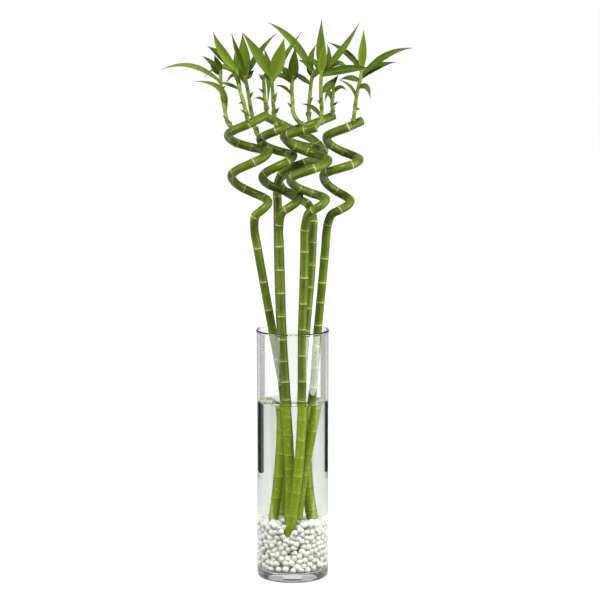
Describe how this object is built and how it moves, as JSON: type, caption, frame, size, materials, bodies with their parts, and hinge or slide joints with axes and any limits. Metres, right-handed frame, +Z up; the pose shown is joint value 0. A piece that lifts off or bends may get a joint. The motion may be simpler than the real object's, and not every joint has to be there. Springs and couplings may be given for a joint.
{
  "type": "lucky bamboo in glass vase",
  "caption": "Curled lucky bamboo canes with leafy shoots, standing in pebbles and water in a tall clear glass cylinder vase.",
  "frame": {"origin": "middle of the vase's flat underside", "axes": "+Z up along the vase, -Y the front, +X to the right seen from the front"},
  "size_m": [0.3361, 0.1951, 0.7783],
  "materials": {
    "vase_glass": "clear, smooth",
    "water": "clear liquid",
    "pebble_stone": "smooth, cream white",
    "cane_green": "waxy, ringed at the nodes",
    "leaf_green": "satin leaf"
  },
  "bodies": {
    "root": {"vase": "vase_glass", "water": "water", "pebbles": "pebble_stone", "cane_a": "cane_green", "cane_b": "cane_green", "cane_c": "cane_green", "cane_d": "cane_green", "cane_e": "cane_green", "cane_f": "cane_green", "shoot_a1": "leaf_green", "shoot_a2": "leaf_green", "shoot_c1": "leaf_green", "shoot_c2": "leaf_green", "shoot_e1": "leaf_green", "shoot_b1": "leaf_green", "shoot_b2": "leaf_green", "shoot_b3": "leaf_green", "shoot_d1": "leaf_green", "shoot_f1": "leaf_green"}
  },
  "joints": []
}
